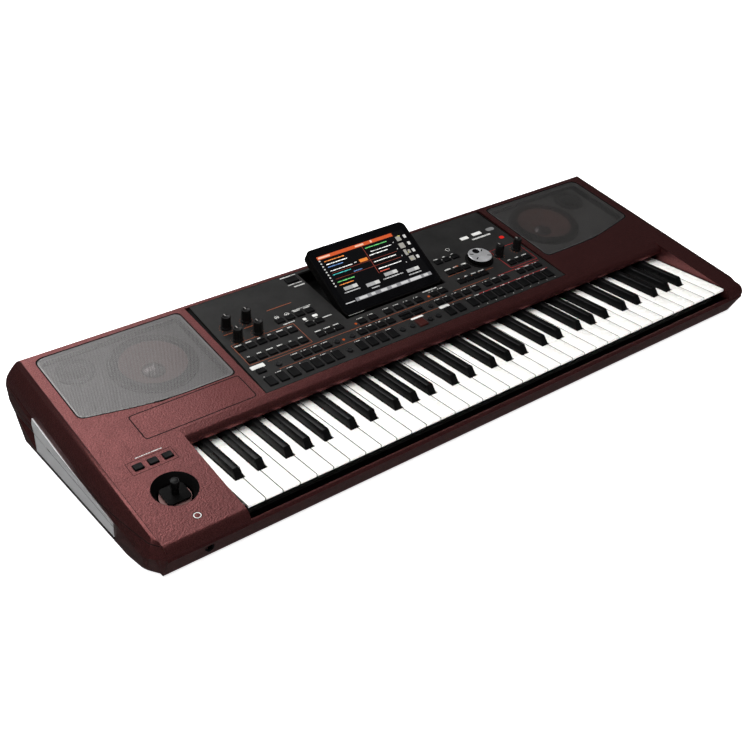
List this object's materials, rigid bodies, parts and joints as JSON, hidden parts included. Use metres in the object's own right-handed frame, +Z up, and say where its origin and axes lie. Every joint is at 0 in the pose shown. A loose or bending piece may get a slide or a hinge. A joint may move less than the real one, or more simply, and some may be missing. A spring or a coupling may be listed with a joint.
{
  "type": "arranger keyboard",
  "caption": "Electronic arranger keyboard with a sloping deck, built-in speakers, a tilting touch display, joystick, knobs, dial and rows of buttons.",
  "frame": {"origin": "middle of the bounding box's base, on the plane that the feet stand on", "axes": "+X to the treble end (the player's right), +Y to the rear, +Z up; the player is on the -Y side"},
  "size_m": [1.03, 0.377, 0.1661],
  "materials": {
    "case_dark": "gloss",
    "case_top": "gloss metallic",
    "insert_silver": "satin",
    "panel_dark": "satin",
    "black_plastic": "matt",
    "grille_metal": "satin",
    "badge_metal": "satin",
    "cone_paper": "matt",
    "magnet_steel": "satin",
    "board_green": "satin",
    "steel": "brushed",
    "felt": "felt",
    "rubber": "matt",
    "key_white": "semi-gloss",
    "key_black": "satin",
    "button_grey": "satin",
    "button_light": "satin",
    "button_red": "satin",
    "knob_black": "satin",
    "dial_silver": "satin",
    "screen_glass": "gloss"
  },
  "bodies": {
    "case": {"bottom_case": "case_dark", "top_case": "case_top", "left_cheek": "case_dark", "right_cheek": "case_dark", "end_inserts": "insert_silver", "control_panel": "panel_dark", "panel_frame": "black_plastic", "display_well": "black_plastic", "left_grille": "grille_metal", "right_grille": "grille_metal", "badge_plate": "badge_metal", "speaker_baffles": "black_plastic", "woofers": "magnet_steel", "woofer_cones": "cone_paper", "tweeters": "magnet_steel", "key_chassis": "black_plastic", "key_pivot_rod": "steel", "key_felt": "felt", "contact_board": "board_green", "main_board": "board_green", "panel_board": "board_green", "power_supply": "black_plastic", "rear_plate": "black_plastic", "sockets": "black_plastic", "feet": "rubber", "joystick_housing": "black_plastic", "potentiometers": "black_plastic"},
    "c_keys": {"key_c": "key_white"},
    "d_keys": {"key_d": "key_white"},
    "e_keys": {"key_e": "key_white"},
    "f_keys": {"key_f": "key_white"},
    "g_keys": {"key_g": "key_white"},
    "a_keys": {"key_a": "key_white"},
    "b_keys": {"key_b": "key_white"},
    "top_c_keys": {"key_top_c": "key_white"},
    "c_sharp_keys": {"key_c_sharp": "key_black"},
    "d_sharp_keys": {"key_d_sharp": "key_black"},
    "f_sharp_keys": {"key_f_sharp": "key_black"},
    "g_sharp_keys": {"key_g_sharp": "key_black"},
    "a_sharp_keys": {"key_a_sharp": "key_black"},
    "left_knob_1_cap": {"left_knob_1": "knob_black"},
    "left_knob_2_cap": {"left_knob_2": "knob_black"},
    "left_knob_3_cap": {"left_knob_3": "knob_black"},
    "left_knob_4_cap": {"left_knob_4": "knob_black"},
    "right_knob_1_cap": {"right_knob_1": "knob_black"},
    "right_knob_2_cap": {"right_knob_2": "knob_black"},
    "dial": {"value_dial": "dial_silver"},
    "display": {"display_housing": "black_plastic", "display_glass": "screen_glass"},
    "yoke": {"joystick_yoke": "black_plastic"},
    "stick": {"joystick_stick": "knob_black"},
    "style_buttons_caps": {"style_buttons": "button_grey"},
    "middle_buttons_caps": {"middle_buttons": "button_grey"},
    "front_buttons_caps": {"front_buttons": "button_grey"},
    "page_buttons_caps": {"page_buttons": "button_grey"},
    "round_buttons_caps": {"round_buttons": "button_light"},
    "start_button_caps": {"start_button": "button_red"},
    "power_button_caps": {"power_button": "button_grey"},
    "assign_switches_caps": {"assign_switches": "button_grey"}
  },
  "joints": [
    {"name": "key_c_press", "type": "hinge", "parent": "case", "child": "c_keys", "pos_m": [0, 0.017, 0.051], "axis": [1, 0, 0], "range_deg": [0, 3], "stiffness_Nm_per_rad": 1.8, "springref_deg": -20.05},
    {"name": "key_d_press", "type": "hinge", "parent": "case", "child": "d_keys", "pos_m": [0, 0.017, 0.051], "axis": [1, 0, 0], "range_deg": [0, 3], "stiffness_Nm_per_rad": 1.8, "springref_deg": -20.05},
    {"name": "key_e_press", "type": "hinge", "parent": "case", "child": "e_keys", "pos_m": [0, 0.017, 0.051], "axis": [1, 0, 0], "range_deg": [0, 3], "stiffness_Nm_per_rad": 1.8, "springref_deg": -20.05},
    {"name": "key_f_press", "type": "hinge", "parent": "case", "child": "f_keys", "pos_m": [0, 0.017, 0.051], "axis": [1, 0, 0], "range_deg": [0, 3], "stiffness_Nm_per_rad": 1.8, "springref_deg": -20.05},
    {"name": "key_g_press", "type": "hinge", "parent": "case", "child": "g_keys", "pos_m": [0, 0.017, 0.051], "axis": [1, 0, 0], "range_deg": [0, 3], "stiffness_Nm_per_rad": 1.8, "springref_deg": -20.05},
    {"name": "key_a_press", "type": "hinge", "parent": "case", "child": "a_keys", "pos_m": [0, 0.017, 0.051], "axis": [1, 0, 0], "range_deg": [0, 3], "stiffness_Nm_per_rad": 1.8, "springref_deg": -20.05},
    {"name": "key_b_press", "type": "hinge", "parent": "case", "child": "b_keys", "pos_m": [0, 0.017, 0.051], "axis": [1, 0, 0], "range_deg": [0, 3], "stiffness_Nm_per_rad": 1.8, "springref_deg": -20.05},
    {"name": "key_top_c_press", "type": "hinge", "parent": "case", "child": "top_c_keys", "pos_m": [0, 0.017, 0.051], "axis": [1, 0, 0], "range_deg": [0, 3], "stiffness_Nm_per_rad": 0.36, "springref_deg": -20.05},
    {"name": "key_c_sharp_press", "type": "hinge", "parent": "case", "child": "c_sharp_keys", "pos_m": [0, 0.017, 0.051], "axis": [1, 0, 0], "range_deg": [0, 3], "stiffness_Nm_per_rad": 1.8, "springref_deg": -20.05},
    {"name": "key_d_sharp_press", "type": "hinge", "parent": "case", "child": "d_sharp_keys", "pos_m": [0, 0.017, 0.051], "axis": [1, 0, 0], "range_deg": [0, 3], "stiffness_Nm_per_rad": 1.8, "springref_deg": -20.05},
    {"name": "key_f_sharp_press", "type": "hinge", "parent": "case", "child": "f_sharp_keys", "pos_m": [0, 0.017, 0.051], "axis": [1, 0, 0], "range_deg": [0, 3], "stiffness_Nm_per_rad": 1.8, "springref_deg": -20.05},
    {"name": "key_g_sharp_press", "type": "hinge", "parent": "case", "child": "g_sharp_keys", "pos_m": [0, 0.017, 0.051], "axis": [1, 0, 0], "range_deg": [0, 3], "stiffness_Nm_per_rad": 1.8, "springref_deg": -20.05},
    {"name": "key_a_sharp_press", "type": "hinge", "parent": "case", "child": "a_sharp_keys", "pos_m": [0, 0.017, 0.051], "axis": [1, 0, 0], "range_deg": [0, 3], "stiffness_Nm_per_rad": 1.8, "springref_deg": -20.05},
    {"name": "left_knob_1_turn", "type": "hinge", "parent": "case", "child": "left_knob_1_cap", "pos_m": [-0.24, 0.08096, 0.108], "axis": [0, -0.1848, 0.9828], "range_deg": [-150, 150]},
    {"name": "left_knob_2_turn", "type": "hinge", "parent": "case", "child": "left_knob_2_cap", "pos_m": [-0.209, 0.08096, 0.108], "axis": [0, -0.1848, 0.9828], "range_deg": [-150, 150]},
    {"name": "left_knob_3_turn", "type": "hinge", "parent": "case", "child": "left_knob_3_cap", "pos_m": [-0.24, 0.11044, 0.11354], "axis": [0, -0.1848, 0.9828], "range_deg": [-150, 150]},
    {"name": "left_knob_4_turn", "type": "hinge", "parent": "case", "child": "left_knob_4_cap", "pos_m": [-0.209, 0.11044, 0.11354], "axis": [0, -0.1848, 0.9828], "range_deg": [-150, 150]},
    {"name": "right_knob_1_turn", "type": "hinge", "parent": "case", "child": "right_knob_1_cap", "pos_m": [0.208, 0.06131, 0.1043], "axis": [0, -0.1848, 0.9828], "range_deg": [-150, 150]},
    {"name": "right_knob_2_turn", "type": "hinge", "parent": "case", "child": "right_knob_2_cap", "pos_m": [0.244, 0.06131, 0.1043], "axis": [0, -0.1848, 0.9828], "range_deg": [-150, 150]},
    {"name": "value_dial_turn", "type": "hinge", "parent": "case", "child": "dial", "pos_m": [0.174, 0.06799, 0.10556], "axis": [0, -0.1848, 0.9828], "continuous": true},
    {"name": "display_tilt", "type": "hinge", "parent": "case", "child": "display", "pos_m": [0.0015, 0.06187, 0.09749], "axis": [1, 0, 0], "range_deg": [-22.8, 18]},
    {"name": "joystick_push", "type": "hinge", "parent": "case", "child": "yoke", "pos_m": [-0.4405, -0.10826, 0.05206], "axis": [1, 0, 0], "range_deg": [-12, 12], "stiffness_Nm_per_rad": 0.15},
    {"name": "joystick_sway", "type": "hinge", "parent": "yoke", "child": "stick", "pos_m": [-0.4405, -0.10826, 0.05206], "axis": [0, 0.9828, 0.1848], "range_deg": [-12, 12], "stiffness_Nm_per_rad": 0.15},
    {"name": "style_buttons_press", "type": "slide", "parent": "case", "child": "style_buttons_caps", "axis": [0, 0.1848, -0.9828], "range_m": [0, 0.001], "stiffness_N_per_m": 6300, "springref_m": -0.001},
    {"name": "middle_buttons_press", "type": "slide", "parent": "case", "child": "middle_buttons_caps", "axis": [0, 0.1848, -0.9828], "range_m": [0, 0.001], "stiffness_N_per_m": 9600, "springref_m": -0.001},
    {"name": "front_buttons_press", "type": "slide", "parent": "case", "child": "front_buttons_caps", "axis": [0, 0.1848, -0.9828], "range_m": [0, 0.001], "stiffness_N_per_m": 6900, "springref_m": -0.001},
    {"name": "page_buttons_press", "type": "slide", "parent": "case", "child": "page_buttons_caps", "axis": [0, 0.1848, -0.9828], "range_m": [0, 0.001], "stiffness_N_per_m": 3900, "springref_m": -0.001},
    {"name": "round_buttons_press", "type": "slide", "parent": "case", "child": "round_buttons_caps", "axis": [0, 0.1848, -0.9828], "range_m": [0, 0.001], "stiffness_N_per_m": 2700, "springref_m": -0.001},
    {"name": "start_button_press", "type": "slide", "parent": "case", "child": "start_button_caps", "axis": [0, 0.1848, -0.9828], "range_m": [0, 0.001], "stiffness_N_per_m": 300, "springref_m": -0.001},
    {"name": "power_button_press", "type": "slide", "parent": "case", "child": "power_button_caps", "axis": [0, 0.1848, -0.9828], "range_m": [0, 0.001], "stiffness_N_per_m": 300, "springref_m": -0.001},
    {"name": "assign_switches_press", "type": "slide", "parent": "case", "child": "assign_switches_caps", "axis": [0, 0.1848, -0.9828], "range_m": [0, 0.001], "stiffness_N_per_m": 900, "springref_m": -0.001}
  ]
}
